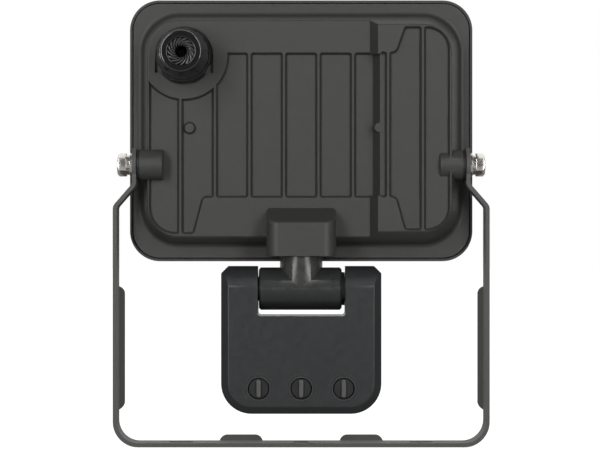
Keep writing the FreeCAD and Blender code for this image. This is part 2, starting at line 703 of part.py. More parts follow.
# ---------------------------------------------------------------- hinge hardware and bracket
FLAT_WASHER = 1.4
SPRING_WASHER = 1.6
EAR_OUTER_X = EAR_INNER_X + SHEET
HEAD_X0 = EAR_OUTER_X + FLAT_WASHER + SPRING_WASHER


def hinge_bolt():
    shank = rod(BOLT_R, HEAD_X0 - BOSS_OUTER_X + 8.5, vec(BOSS_OUTER_X - 8.5, 0, PIVOT_Z), X_AXIS)
    head = hexagon(BOLT_AF, HEAD_X0, HEAD_X0 + HEAD_LENGTH, 0, PIVOT_Z, 30)
    crown_r = BOLT_AF / math.sqrt(3)
    crown = turned([(0, 0), (crown_r, 0), (crown_r, HEAD_LENGTH - 1.0), (crown_r - 1.0, HEAD_LENGTH),
                    (2.6, HEAD_LENGTH), (2.3, HEAD_LENGTH - 0.5), (0, HEAD_LENGTH - 0.5)],
                   vec(HEAD_X0, 0, PIVOT_Z), X_AXIS)
    return shank.fuse(head.common(crown)).removeSplitter()


def washer(x0, length, outer, inner):
    solid = ring(outer, inner, length, vec(x0, 0, PIVOT_Z), X_AXIS)
    rims = [e for e in solid.Edges if abs(e.BoundBox.ZMax - PIVOT_Z - outer) < 0.01
            and e.BoundBox.XLength < 0.01]
    return solid.makeFillet(0.25, rims)


def spring_washer():
    """Square-section ring, cut across once."""
    x0 = EAR_OUTER_X + FLAT_WASHER
    solid = ring(5.0, BOLT_R + 0.2, SPRING_WASHER, vec(x0, 0, PIVOT_Z), X_AXIS)
    slit = block(x0 - 1, x0 + SPRING_WASHER + 1, -7, -2, PIVOT_Z - 0.35, PIVOT_Z + 0.35)
    slit.rotate(vec(x0, 0, PIVOT_Z), X_AXIS, 25)
    return solid.cut(slit)


def mounting_bracket():
    tall = PIVOT_Z + EAR_R
    ear = EAR_OUTER_X
    points = [(-LEG_X, 0), (LEG_X, 0), (LEG_X, BEND_LOW), (ear, BEND_TOP), (ear, tall),
              (-ear, tall), (-ear, BEND_TOP), (-LEG_X, BEND_LOW)]
    radii = [CORNER_R, CORNER_R, 4.5, 2.0, 0, 0, 2.0, 4.5]
    inner_points, inner_radii = inset(points, radii, SHEET)
    inner_points[4] = (inner_points[4][0], tall + 5)
    inner_points[5] = (inner_points[5][0], tall + 5)
    inner_radii[4] = 0
    inner_radii[5] = 0
    wide = EAR_R + 1
    strap = prism(points, radii, -wide, wide)
    strap = strap.cut(prism(inner_points, inner_radii, -wide - 1, wide + 1))
    # side view: a straight strap with a full-round end
    side = block(-LEG_X - 1, LEG_X + 1, -STRAP_HALF, STRAP_HALF, -1, PIVOT_Z)
    side = side.fuse(rod(EAR_R, 2 * LEG_X + 2, vec(-LEG_X - 1, 0, PIVOT_Z), X_AXIS))
    strap = strap.common(side.removeSplitter())
    solid = fuse([strap] + stiffening_lips())
    holes = [rod(BRACKET_HOLE_R, 10, vec(0, 0, -5), Z_AXIS),
             rod(BOLT_R + RUN, 2 * LEG_X + 2, vec(-LEG_X - 1, 0, PIVOT_Z), X_AXIS),
             long_hole(-SLOT_X), long_hole(SLOT_X)]
    return solid.cut(Part.makeCompound(holes))


def long_hole(x):
    """Cutter for an adjusting slot in the bottom bar."""
    straight = SLOT_LENGTH / 2 - SLOT_HALF
    middle = block(x - straight, x + straight, -SLOT_HALF, SLOT_HALF, -5, 5)
    ends = [rod(SLOT_HALF, 10, vec(x + end, 0, -5), Z_AXIS) for end in (-straight, straight)]
    return fuse([middle] + ends)


def stiffening_lips():
    """Folded lips on the far edge of the legs and of the bar, with rounded ends."""
    lips = []
    rise = 2.4
    leg_profile = [(LEG_X - SHEET, STRAP_HALF - 2.0), (LEG_X, STRAP_HALF - 2.0), (LEG_X, STRAP_HALF + 0.6),
                   (LEG_X - SHEET - rise, STRAP_HALF + 5.4), (LEG_X - SHEET - rise, STRAP_HALF + 2.8),
                   (LEG_X - SHEET, STRAP_HALF)]
    leg_lip = prism_z(leg_profile, [0, 0, 1.5, 0, 0, 0.8], 17.0, 79.0)
    trim = prism(box_corners(LEG_X - SHEET - rise, LEG_X + 8, 17.0, 79.0), [4.0, 0, 0, 4.0], 0, 40)
    leg_lip = leg_lip.common(trim)
    lips += [leg_lip, mirrored(leg_lip)]
    bar_profile = [(STRAP_HALF - 2.0, 0), (STRAP_HALF + 0.6, 0), (STRAP_HALF + 5.4, SHEET + rise),
                   (STRAP_HALF + 2.8, SHEET + rise), (STRAP_HALF, SHEET), (STRAP_HALF - 2.0, SHEET)]
    bar_lip = prism_x(bar_profile, [0, 1.5, 0, 0, 0.8, 0], 19.0, 41.0)
    trim = prism(box_corners(19.0, 41.0, -8, SHEET + rise), [0, 0, 4.0, 4.0], 0, 40)
    bar_lip = bar_lip.common(trim)
    lips += [bar_lip, mirrored(bar_lip)]
    return lips


# ---------------------------------------------------------------- sensor arm
NECK_TOP = BLOCK_LOW - 0.3
O_RING_R = 8.4
O_RING_SECTION = 0.75
O_RING_FLOOR = NECK_TOP - 1.45


def sensor_arm():
    """T piece: upright neck that pans in the casting, level barrel that the head tilts on."""
    neck = rod(NECK_R, NECK_TOP - BARREL_Z, vec(0, ARM_Y, BARREL_Z), Z_AXIS)
    stub = turned([(0, 0), (STUB_R, 0), (STUB_R, 10.9), (STUB_R - 1.2, 10.9), (STUB_R - 1.2, 12.1),
                   (STUB_R, 12.1), (STUB_R, 13.0), (STUB_R - 0.6, 13.6), (0, 13.6)],
                  vec(0, ARM_Y, NECK_TOP), Z_AXIS)
    lift = 0.9
    barrel = turned([(0, 0), (BARREL_R - lift, 0), (BARREL_R, lift),
                     (BARREL_R, BARREL_RIGHT - BARREL_LEFT - lift),
                     (BARREL_R - lift, BARREL_RIGHT - BARREL_LEFT), (0, BARREL_RIGHT - BARREL_LEFT)],
                    vec(BARREL_LEFT, ARM_Y, BARREL_Z), X_AXIS)
    shoulder = rod(8.2, SLOT_RIGHT - 0.3 - BARREL_RIGHT, vec(BARREL_RIGHT, ARM_Y, BARREL_Z), X_AXIS)
    axle = rod(AXLE_R, 66.0, vec(-33.0, ARM_Y, BARREL_Z), X_AXIS)
    solid = fuse([neck, stub, barrel, shoulder, axle])
    solid = solid.cut(ring(O_RING_R + 0.8, O_RING_R - 0.8, 3, vec(0, ARM_Y, O_RING_FLOOR), Z_AXIS))
    solid = solid.cut(rod(ARM_BORE_R, 32, vec(0, ARM_Y, BARREL_Z), Z_AXIS))
    return solid.cut(rod(ARM_BORE_R, 34, vec(0, ARM_Y, BARREL_Z), X_AXIS))


def arm_retaining_clip():
    """Open clip in the groove of the neck's stub, above the bearing."""
    z0 = NECK_TOP + 10.95
    clip = ring(8.6, STUB_R - 1.15, 1.1, vec(0, ARM_Y, z0), Z_AXIS)
    return clip.cut(block(-3.5, 3.5, ARM_Y + 2, ARM_Y + 12, z0 - 1, z0 + 3))


def arm_o_ring():
    """Seal in the groove at the top of the neck, just proud of it."""
    return Part.makeTorus(O_RING_R, O_RING_SECTION, vec(0, ARM_Y, O_RING_FLOOR + O_RING_SECTION), Z_AXIS)


def tilt_retaining_rings():
    thick, gap = 0.9, 0.3
    left = SLOT_LEFT - POST_LENGTH - gap - thick
    right = SLOT_RIGHT + POST_LENGTH + gap
    return group([ring(7.2, AXLE_R, thick, vec(x, ARM_Y, BARREL_Z), X_AXIS) for x in (left, right)])


def sensor_cable():
    """Flexible sheathed cable from the lamp, down the neck and out through one axle."""
    top = vec(0, ARM_Y, BLOCK_LOW + 14.6)
    bend = 7.0
    start = vec(0, ARM_Y, BARREL_Z + bend)
    middle = vec(bend - bend * math.cos(math.pi / 4), ARM_Y, BARREL_Z + bend - bend * math.sin(math.pi / 4))
    end = vec(bend, ARM_Y, BARREL_Z)
    path = Part.Wire([Part.makeLine(top, start), Part.Arc(start, middle, end).toShape(),
                      Part.makeLine(end, vec(35, ARM_Y, BARREL_Z))])
    section = Part.Wire([Part.Circle(top, vec(0, 0, -1), 2.2).toShape()])
    return path.makePipeShell([section], True, False)


# ---------------------------------------------------------------- sensor head
def head_slot(grow):
    points = box_corners(SLOT_LEFT - grow, SLOT_RIGHT + grow, SLOT_FLOOR - grow, HEAD_HIGH + 10)
    return prism(points, [1.5 + grow, 1.5 + grow, 0, 0], HEAD_BACK - 5, HEAD_FRONT + 5)


def bearing_posts():
    """Round bosses inside the ears, around both axles."""
    return [rod(8.4, POST_LENGTH, vec(SLOT_RIGHT, ARM_Y, BARREL_Z), X_AXIS),
            rod(8.4, POST_LENGTH, vec(SLOT_LEFT, ARM_Y, BARREL_Z), vec(-1, 0, 0))]


def axle_bore():
    reach = HEAD_X - HEAD_WALL - 0.6
    return rod(AXLE_R + RUN, 2 * reach, vec(-reach, ARM_Y, BARREL_Z), X_AXIS)


def head_outline(side, low, high, low_r, high_r):
    """Head outline: wide round lower corners and clipped upper corners."""
    clip = 3.5
    points = [(-side, low), (side, low), (side, high - clip), (side - clip, high),
              (-side + clip, high), (-side, high - clip)]
    return points, [low_r, low_r, high_r, high_r, high_r, high_r]


def back_side_view(grow):
    """Side view of the back half: the ears are round about the tilt axis, the back is flat."""
    radius = EAR_BACK_R - grow
    centre_z = BARREL_Z + EAR_FRONT_R - EAR_BACK_R
    low = HEAD_LOW + grow
    edges = [Part.makeLine(vec(0, ARM_Y, low), vec(0, ARM_Y - radius, low)),
             Part.makeLine(vec(0, ARM_Y - radius, low), vec(0, ARM_Y - radius, centre_z)),
             Part.Arc(vec(0, ARM_Y - radius, centre_z),
                      vec(0, ARM_Y - radius * math.cos(math.pi / 4),
                          centre_z + radius * math.sin(math.pi / 4)),
                      vec(0, ARM_Y, centre_z + radius)).toShape(),
             Part.makeLine(vec(0, ARM_Y, centre_z + radius), vec(0, ARM_Y, low))]
    face = Part.Face(Part.Wire(edges))
    face.translate(vec(-60, 0, 0))
    return face.extrude(vec(120, 0, 0))


def banded_half(grow, soft):
    """Back half of the head with its edge band; soft rounds both edges of the band."""
    beyond = HEAD_HIGH + 8
    outer = box_corners(-HEAD_X, HEAD_X, HEAD_LOW, beyond)
    points, radii = inset(outer, [15.0, 15.0, 6.0, 6.0], grow)
    face_points, face_radii = inset(points, radii, HEAD_BAND)
    band_y = HEAD_BACK + HEAD_BAND
    wall = prism(points, radii, band_y, ARM_Y)
    band = taper(face_points, face_radii, HEAD_BACK + grow, points, radii, band_y)
    half = fuse([wall, band])
    if soft:
        half = half.makeFillet(soft, [e for e in half.Edges if lies_at(e, HEAD_BACK) or lies_at(e, band_y)])
    clip_points, clip_radii = inset(*head_outline(HEAD_X, HEAD_LOW - 5, HEAD_HIGH, 1.0, 1.2), grow)
    clipped = prism(clip_points, clip_radii, HEAD_BACK - 1, ARM_Y + 1)
    return half.common(back_side_view(grow)).common(clipped)


def sensor_back_cover():
    outer = banded_half(0, 1.2)
    hollow = banded_half(HEAD_WALL, 0).cut(head_slot(HEAD_WALL))
    shell = outer.cut(head_slot(0)).cut(hollow)
    half_space = block(-HEAD_X, HEAD_X, HEAD_BACK + 1.5, ARM_Y, HEAD_LOW, HEAD_HIGH)
    posts = [post.common(half_space) for post in bearing_posts()]
    shell = fuse([shell] + posts).cut(axle_bore())
    added = []
    removed = []
    for x in (-DIAL_X, 0, DIAL_X):
        cup_floor = HEAD_BACK + DIAL_DEPTH + DIAL_DISC + 0.15
        added.append(rod(COLLAR_R, HEAD_WALL + 1.6, vec(x, HEAD_BACK - 0.25, DIAL_Z), Y_AXIS))
        removed.append(rod(DIAL_R + 0.3, 3.0, vec(x, cup_floor - 3.0, DIAL_Z), Y_AXIS))
        removed.append(rod(DIAL_SHAFT_R + RUN, 5, vec(x, HEAD_BACK, DIAL_Z), Y_AXIS))
    return fuse([shell] + added).cut(Part.makeCompound(removed))


def head_side_view(grow):
    """Side view of the front half: ears round about the tilt axis, flat front, soft lower edge."""
    radius = EAR_FRONT_R - grow
    low = HEAD_LOW + grow
    front = HEAD_FRONT - grow
    top_z = BARREL_Z + radius
    angle = math.radians(20)
    side_y = ARM_Y + radius * math.cos(angle)
    side_z = BARREL_Z - radius * math.sin(angle)
    knee_z = side_z - (front - side_y) / math.tan(angle)
    soft = 4.0 - grow
    edges = [Part.makeLine(vec(0, ARM_Y, low), vec(0, front - soft, low)),
             Part.Arc(vec(0, front - soft, low),
                      vec(0, front - soft + soft * math.sin(math.pi / 4),
                          low + soft - soft * math.cos(math.pi / 4)),
                      vec(0, front, low + soft)).toShape(),
             Part.makeLine(vec(0, front, low + soft), vec(0, front, knee_z)),
             Part.makeLine(vec(0, front, knee_z), vec(0, side_y, side_z)),
             Part.Arc(vec(0, side_y, side_z),
                      vec(0, ARM_Y + radius * math.cos(math.radians(35)),
                          BARREL_Z + radius * math.sin(math.radians(35))),
                      vec(0, ARM_Y, top_z)).toShape(),
             Part.makeLine(vec(0, ARM_Y, top_z), vec(0, ARM_Y, low))]
    face = Part.Face(Part.Wire(edges))
    face.translate(vec(-60, 0, 0))
    return face.extrude(vec(120, 0, 0))


def sensor_front_shell():
    split_points, split_radii = head_outline(HEAD_X, HEAD_LOW, HEAD_HIGH, 15.0, 1.2)
    front_points, front_radii = head_outline(HEAD_X - 1.2, HEAD_LOW + 1.2, HEAD_HIGH, 13.8, 1.2)
    outer = taper(split_points, split_radii, ARM_Y, front_points, front_radii, HEAD_FRONT + 0.5)
    outer = outer.common(head_side_view(0))
    inner_split = inset(split_points, split_radii, HEAD_WALL)
    inner_front = inset(front_points, front_radii, HEAD_WALL)
    hollow = taper(inner_split[0], inner_split[1], ARM_Y, inner_front[0], inner_front[1],
                   HEAD_FRONT + 0.5)
    hollow = hollow.common(head_side_view(HEAD_WALL)).cut(head_slot(HEAD_WALL))
    shell = outer.cut(head_slot(0)).cut(hollow)
    half_space = block(-HEAD_X, HEAD_X, ARM_Y, HEAD_FRONT, HEAD_LOW, HEAD_HIGH)
    posts = [post.common(half_space) for post in bearing_posts()]
    shell = fuse([shell] + posts).cut(axle_bore())
    window = prism(box_corners(-LENS_X - 0.3, LENS_X + 0.3, LENS_LOW - 0.3, LENS_HIGH + 0.3),
                   [5.3] * 4, 5, HEAD_FRONT + 5)
    return shell.cut(window)


def lens_bulge(shrink):
    """Barrel-shaped dome, round in plan, with soft upper and lower edges."""
    radius = (LENS_X ** 2 + LENS_BULGE ** 2) / (2 * LENS_BULGE)
    centre_y = HEAD_FRONT + LENS_BULGE - radius
    barrel = rod(radius - shrink, LENS_HIGH - LENS_LOW - 2 * shrink, vec(0, centre_y, LENS_LOW + shrink),
                 Z_AXIS)
    rims = [e for e in barrel.Edges if e.BoundBox.ZLength < 0.01]
    barrel = barrel.makeFillet(6.0 - shrink, rims)
    tunnel = prism(box_corners(-LENS_X + shrink, LENS_X - shrink, LENS_LOW + shrink, LENS_HIGH - shrink),
                   [5.0 - shrink] * 4, HEAD_FRONT - 2.4, HEAD_FRONT + 30)
    return barrel.common(tunnel)


def sensor_lens():
    """Milky Fresnel lens with a flange behind the front wall."""
    back = HEAD_FRONT - HEAD_WALL
    flange = prism(box_corners(-LENS_X - 2, LENS_X + 2, LENS_LOW - 2, LENS_HIGH + 2), [7.0] * 4,
                   back - 1.2, back)
    neck = prism(box_corners(-LENS_X, LENS_X, LENS_LOW, LENS_HIGH), [5.0] * 4, back - 0.6,
                 HEAD_FRONT + 0.5)
    opening = prism(box_corners(-LENS_X + 1.2, LENS_X - 1.2, LENS_LOW + 1.2, LENS_HIGH - 1.2),
                    [3.8] * 4, back - 3, HEAD_FRONT + 0.2)
    solid = fuse([flange, neck, lens_bulge(0)]).cut(opening)
    return solid.cut(lens_bulge(1.2))


def dial(x):
    """Trimming dial down in its cup: disc, grip blade that comes up to the back of the head, shaft."""
    face_y = HEAD_BACK + DIAL_DEPTH
    disc = rod(DIAL_R, DIAL_DISC, vec(x, face_y, DIAL_Z), Y_AXIS)
    rims = [e for e in disc.Edges if e.BoundBox.YMax < face_y + 0.01]
    disc = disc.makeFillet(0.3, rims)
    shaft = rod(DIAL_SHAFT_R, 3.6, vec(x, face_y + DIAL_DISC, DIAL_Z), Y_AXIS)
    blade = prism(box_corners(x - 1.1, x + 1.1, DIAL_Z - 4.3, DIAL_Z + 4.3), [1.0] * 4,
                  HEAD_BACK - 0.35, face_y + 0.2)
    tips = [e for e in blade.Edges if e.BoundBox.YMax < HEAD_BACK - 0.34]
    return fuse([disc, shaft, blade.makeFillet(0.35, tips)])


SENSOR_BOARD_BACK = HEAD_BACK + 6.4


def sensor_board():
    return prism(box_corners(-31.0, 31.0, 21.5, 60.0), [9.0, 9.0, 2.0, 2.0], SENSOR_BOARD_BACK,
                 SENSOR_BOARD_BACK + 1.6)


def dial_potentiometers():
    bodies = []
    for x in (-DIAL_X, 0, DIAL_X):
        body = block(x - 3.4, x + 3.4, HEAD_BACK + 3.9, SENSOR_BOARD_BACK, DIAL_Z - 3.4, DIAL_Z + 3.4)
        bodies.append(body.cut(rod(DIAL_SHAFT_R + 0.1, 3.0, vec(x, HEAD_BACK + 3.0, DIAL_Z), Y_AXIS)))
    return group(bodies)


def pir_element():
    """Metal can with a square window."""
    base = SENSOR_BOARD_BACK + 1.6
    can = turned([(0, 0), (4.9, 0), (4.9, 0.6), (4.3, 0.9), (4.3, 3.8), (4.0, 4.2), (0, 4.2)],
                 vec(0, base, 41.0), Y_AXIS)
    return can.cut(block(-2.0, 2.0, base + 4.0, base + 5.0, 39.0, 43.0))


def light_cell():
    return rod(2.5, 2.2, vec(-14.0, SENSOR_BOARD_BACK + 1.6, 33.0), Y_AXIS)


def sensor_relay():
    base = SENSOR_BOARD_BACK + 1.6
    case = block(10.0, 25.0, base, base + 8.5, 46.0, 58.0)
    upper = [e for e in case.Edges if e.BoundBox.YMin > base + 8.4]
    return case.makeChamfer(0.5, upper)


# ---------------------------------------------------------------- write every piece
def main():
    os.makedirs("parts", exist_ok=True)
    save("mounting_bracket", mounting_bracket())
    save("hinge_bolts", both_sides(hinge_bolt()))
    save("spring_washers", both_sides(spring_washer()))
    save("flat_washers", both_sides(washer(EAR_OUTER_X, FLAT_WASHER, 6.0, BOLT_R + 0.1)))
    save("friction_discs", both_sides(washer(BOSS_OUTER_X, EAR_INNER_X - BOSS_OUTER_X, 7.4, BOLT_R + 0.1)))
    save("rear_housing", rear_housing())
    save("front_frame", front_frame())
    save("front_glass", front_glass())
    save("glass_gasket", glass_gasket())
    save("frame_screws", frame_screws())
    save("reflector", reflector())
    save("led_board", led_board())
    save("led_chips", led_chips())
    save("led_board_screws", led_board_screws())
    save("driver_board", driver_board())
    save("driver_board_screws", driver_board_screws())
    save("driver_transformer", driver_transformer())
    save("driver_capacitors", driver_capacitors())
    save("driver_rectifier", driver_rectifier())
    save("terminal_block", terminal_block())
    save("mains_leads", mains_leads())
    save("led_leads", led_leads())
    save("gland_body", gland_body())
    save("gland_dome_nut", gland_dome_nut())
    save("gland_seal", gland_seal())
    save("gland_gasket", gland_gasket())
    save("gland_locknut", gland_locknut())
    save("sensor_arm", sensor_arm())
    save("arm_retaining_clip", arm_retaining_clip())
    save("arm_o_ring", arm_o_ring())
    save("tilt_retaining_rings", tilt_retaining_rings())
    save("sensor_cable", sensor_cable())
    save("sensor_back_cover", sensor_back_cover())
    save("sensor_front_shell", sensor_front_shell())
    save("sensor_lens", sensor_lens())
    save("sensor_board", sensor_board())
    save("dial_potentiometers", dial_potentiometers())
    save("pir_element", pir_element())
    save("light_cell", light_cell())
    save("sensor_relay", sensor_relay())
    for name, x in (("time_dial", -DIAL_X), ("lux_dial", 0), ("range_dial", DIAL_X)):
        save(name, dial(x))


main()
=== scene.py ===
"""Looks of the flood light with a motion sensor head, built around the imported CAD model.

Metres, in the model's own frame: X across, +Y the way the light leaves, +Z up. The camera looks
at the back of the lamp, along +Y.
"""

import json
import math

import bmesh
import bpy
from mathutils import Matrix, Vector


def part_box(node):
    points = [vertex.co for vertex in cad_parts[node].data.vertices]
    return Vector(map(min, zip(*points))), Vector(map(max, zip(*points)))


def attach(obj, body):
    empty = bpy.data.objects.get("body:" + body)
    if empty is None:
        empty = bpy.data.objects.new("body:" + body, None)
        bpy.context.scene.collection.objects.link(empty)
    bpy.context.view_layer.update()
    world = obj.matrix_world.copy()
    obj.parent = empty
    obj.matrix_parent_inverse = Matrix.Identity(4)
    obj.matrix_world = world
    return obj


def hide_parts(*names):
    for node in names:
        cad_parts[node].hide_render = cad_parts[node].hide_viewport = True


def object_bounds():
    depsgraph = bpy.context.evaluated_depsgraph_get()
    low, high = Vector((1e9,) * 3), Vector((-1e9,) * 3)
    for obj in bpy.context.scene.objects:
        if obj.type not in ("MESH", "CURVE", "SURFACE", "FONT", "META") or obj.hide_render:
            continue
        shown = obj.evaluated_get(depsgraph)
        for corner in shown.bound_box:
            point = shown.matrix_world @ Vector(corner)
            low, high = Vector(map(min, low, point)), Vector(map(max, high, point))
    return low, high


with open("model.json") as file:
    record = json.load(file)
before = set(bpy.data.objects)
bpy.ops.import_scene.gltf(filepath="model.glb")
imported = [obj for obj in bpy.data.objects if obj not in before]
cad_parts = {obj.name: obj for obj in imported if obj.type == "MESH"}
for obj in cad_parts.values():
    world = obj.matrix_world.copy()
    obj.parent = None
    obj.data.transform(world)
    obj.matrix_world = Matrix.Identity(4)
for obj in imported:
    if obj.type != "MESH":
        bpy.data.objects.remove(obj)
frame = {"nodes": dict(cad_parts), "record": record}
cad_low, cad_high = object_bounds()

MM = 0.001
NODES = frame["nodes"]
SCENE = bpy.context.scene

# studio; the backdrop is (place from -Y to +Y, brightness) and the strips' azimuths are in degrees
CAMERA_PLACE = (-0.6 * MM, -990.4 * MM, 109.6 * MM)
BACKDROP = ((0.0, 0.10), (0.30, 0.10), (0.52, 0.14), (0.64, 0.60), (0.75, 1.15))
STRIPS = (("strip_left", -30), ("strip_right", 30))
STRIP_ELEVATION = 3
STRIP_WIDTH, STRIP_HEIGHT, STRIP_POWER = 0.34, 1.9, 16
FLOOR_HALF = 4.0
FLOOR_DROP = 0.2 * MM
FLOOR_GLOW, FLOOR_GLOW_SEEN = 0.1, 0.95

# CAD nodes
DIALS = ("time_dial", "lux_dial", "range_dial")
ROUND_NODES = ("gland_body", "hinge_bolts")
BEVEL_ANGLE, SMOOTH_ANGLE = math.radians(28), math.radians(32)
BEVEL_SEGMENTS = 2
BLADE_DEPTH = 1.2 * MM
FINGER_REACH = 7.3 * MM
LENS_COLUMNS, LENS_ROWS, LENS_RINGS = 6, 3, 14

# LED packages and their phosphor pads
PACKAGE_STEPS = (0.08 * MM, 0.25 * MM, 0.15 * MM)
DISH_DEPTH = 0.3 * MM
PAD_MARGIN, PAD_RISE = 0.45 * MM, 0.24 * MM

# gland nut, in millimetres: radii, lengths along its axis, and the rounding of each corner
NUT_BORE, NUT_TIP, NUT_WAY = 9.4, 10.0, 6.7
NUT_SKIRT, NUT_LIP, NUT_INNER_CONE = 8.0, 2.6, 8.0
NUT_LIP_SLOPE = 0.05
NUT_ROUNDING = (0, 0.5, 1.3, 0.9, 0.4, 0.2, 0)
NUT_STEPS = 144
FLUTES = 12
FLUTE_DEPTH, FLUTED_BAND, FLUTED_LENGTH = 0.45, 0.9, 8.6

# clamping fins inside the nut; the section is (share of half width, depth in millimetres)
FINS, FIN_BENDS = 16, 8
FIN_OUTER, FIN_INNER = 6.5 * MM, 3.0 * MM
FIN_SET_BACK, FIN_DIP = 1.1 * MM, 0.9 * MM
FIN_SWIRL, FIN_LEAN = math.radians(48), math.radians(52)
FIN_TAPER, FIN_LEAST = 0.062, 0.06 * MM
FIN_SECTION = ((-1, 2.0), (-1, 0.45), (-0.55, 0.08), (0, 0), (0.55, 0.08), (1, 0.45), (1, 2.0))

# scale round each dial: inner and outer radii, depths, and angles in degrees from straight down
RING_RADII, ARC_RADII, MARK_RADII = (5.55 * MM, 5.75 * MM), (7.15 * MM, 7.30 * MM), (7.3 * MM, 7.9 * MM)
RING_DEPTH, SCALE_DEPTH = 0.3 * MM, 0.5 * MM
SCALE_PROUD = 0.06 * MM
SCALE_START, SCALE_SWEEP, MARK_SPACING, MARK_WIDTH = 50, 260, 26, 1.4


# ---------------------------------------------------------------- camera, light and floor
def add_camera():
    data = bpy.data.cameras.new("camera")
    data.lens = 120
    data.sensor_width = 36
    camera = bpy.data.objects.new("camera", data)
    camera.location = CAMERA_PLACE
    camera.rotation_euler = (math.radians(90), 0, 0)
    SCENE.collection.objects.link(camera)
    SCENE.camera = camera


def add_world():
    """White all round to the eye; as light, a bright backdrop behind the lamp and dim elsewhere."""
    world = bpy.data.worlds.new("studio")
    world.use_nodes = True
    SCENE.world = world
    tree = world.node_tree
    tree.nodes.clear()
    direction = tree.nodes.new("ShaderNodeTexCoord")
    split = tree.nodes.new("ShaderNodeSeparateXYZ")
    spread = tree.nodes.new("ShaderNodeMapRange")
    spread.inputs["From Min"].default_value = -1
    spread.inputs["From Max"].default_value = 1
    ramp = tree.nodes.new("ShaderNodeValToRGB")
    set_ramp(ramp, [(place, (level,) * 3) for place, level in BACKDROP])
    seen = tree.nodes.new("ShaderNodeLightPath")
    lit = tree.nodes.new("ShaderNodeBackground")
    shown = tree.nodes.new("ShaderNodeBackground")
    shown.inputs["Color"].default_value = (1, 1, 1, 1)
    mix = tree.nodes.new("ShaderNodeMixShader")
    out = tree.nodes.new("ShaderNodeOutputWorld")
    link(tree, direction.outputs["Generated"], split.inputs[0])
    link(tree, split.outputs["Y"], spread.inputs["Value"])
    link(tree, spread.outputs["Result"], ramp.inputs["Fac"])
    link(tree, ramp.outputs["Color"], lit.inputs["Color"])
    link(tree, seen.outputs["Is Camera Ray"], mix.inputs["Fac"])
    link(tree, lit.outputs[0], mix.inputs[1])
    link(tree, shown.outputs[0], mix.inputs[2])
    link(tree, mix.outputs[0], out.inputs["Surface"])


def add_softbox(name, azimuth, elevation, width, height, power, distance=1.3):
    """A rectangular lamp facing the model; azimuth 0 is on the camera's side, elevation is upward."""
    turn, rise = math.radians(azimuth), math.radians(elevation)
    towards = Vector((math.sin(turn) * math.cos(rise), -math.cos(turn) * math.cos(rise), math.sin(rise)))
    data = bpy.data.lights.new(name, "AREA")
    data.shape = "RECTANGLE"
    data.size = width
    data.size_y = height
    data.energy = power
    light = bpy.data.objects.new(name, data)
    light.location = (cad_low + cad_high) / 2 + towards * distance
    light.rotation_euler = towards.to_track_quat("Z", "Y").to_euler()
    SCENE.collection.objects.link(light)


def add_floor():
    """A pale floor just under the model: bright to the camera, a dim light to the model."""
    mesh = bpy.data.meshes.new("floor")
    level = cad_low.z - FLOOR_DROP
    mesh.from_pydata([(-FLOOR_HALF, -FLOOR_HALF, level), (FLOOR_HALF, -FLOOR_HALF, level),
                      (FLOOR_HALF, FLOOR_HALF, level), (-FLOOR_HALF, FLOOR_HALF, level)], [], [(0, 1, 2, 3)])
    floor = bpy.data.objects.new("floor", mesh)
    SCENE.collection.objects.link(floor)
    material, tree, shader = new_material("floor")
    shader.inputs["Base Color"].default_value = (0.3, 0.3, 0.3, 1)
    shader.inputs["Roughness"].default_value = 0.9
    shader.inputs["Specular IOR Level"].default_value = 0.0
    shader.inputs["Emission Color"].default_value = (1, 1, 1, 1)
    seen = tree.nodes.new("ShaderNodeLightPath")
    glow = between(tree, seen.outputs["Is Camera Ray"], FLOOR_GLOW, FLOOR_GLOW_SEEN, 0, 1)
    link(tree, glow, shader.inputs["Emission Strength"])
    mesh.materials.append(material)


# ---------------------------------------------------------------- node helpers
def new_material(name):
    """An empty material, with its node tree and its surface shader."""
    material = bpy.data.materials.new(name)
    material.use_nodes = True
    return material, material.node_tree, material.node_tree.nodes["Principled BSDF"]


def new_maths(tree, kind, operation):
    node = tree.nodes.new(kind)
    node.operation = operation
    return node


def link(tree, output, socket):
    tree.links.new(output, socket)


def set_ramp(ramp, stops):
    elements = ramp.color_ramp.elements
    while len(elements) < len(stops):
        elements.new(0.5)
    for element, (place, colour) in zip(elements, stops):
        element.position = place
        element.color = (*colour, 1)


def noise(tree, size, detail=2.0, stretch=(1, 1, 1)):
    """Noise in the piece's own space; size is the spacing of its features in metres."""
    place = tree.nodes.new("ShaderNodeTexCoord")
    mapping = tree.nodes.new("ShaderNodeMapping")
    mapping.inputs["Scale"].default_value = tuple(s / size for s in stretch)
    texture = tree.nodes.new("ShaderNodeTexNoise")
    texture.inputs["Scale"].default_value = 1.0
    texture.inputs["Detail"].default_value = detail
    link(tree, place.outputs["Object"], mapping.inputs["Vector"])
    link(tree, mapping.outputs["Vector"], texture.inputs["Vector"])
    return texture.outputs["Fac"]


def between(tree, factor, low, high, start=0.3, end=0.7):
    """Map a factor that runs from start to end to a value between low and high."""
    node = tree.nodes.new("ShaderNodeMapRange")
    node.inputs["From Min"].default_value = start
    node.inputs["From Max"].default_value = end
    node.inputs["To Min"].default_value = low
    node.inputs["To Max"].default_value = high
    link(tree, factor, node.inputs["Value"])
    return node.outputs["Result"]


def two_tone(tree, factor, first, second):
    node = tree.nodes.new("ShaderNodeMix")
    node.data_type = "RGBA"
    node.inputs["A"].default_value = (*first, 1)
    node.inputs["B"].default_value = (*second, 1)
    link(tree, factor, node.inputs["Factor"])
    return node.outputs["Result"]


def bump(tree, height, depth, below=None):
    node = tree.nodes.new("ShaderNodeBump")
    node.inputs["Strength"].default_value = 1.0
    node.inputs["Distance"].default_value = depth
    link(tree, height, node.inputs["Height"])
    if below is not None:
        link(tree, below, node.inputs["Normal"])
    return node.outputs["Normal"]


def shade(colour, factor):
    return tuple(c * factor for c in colour)


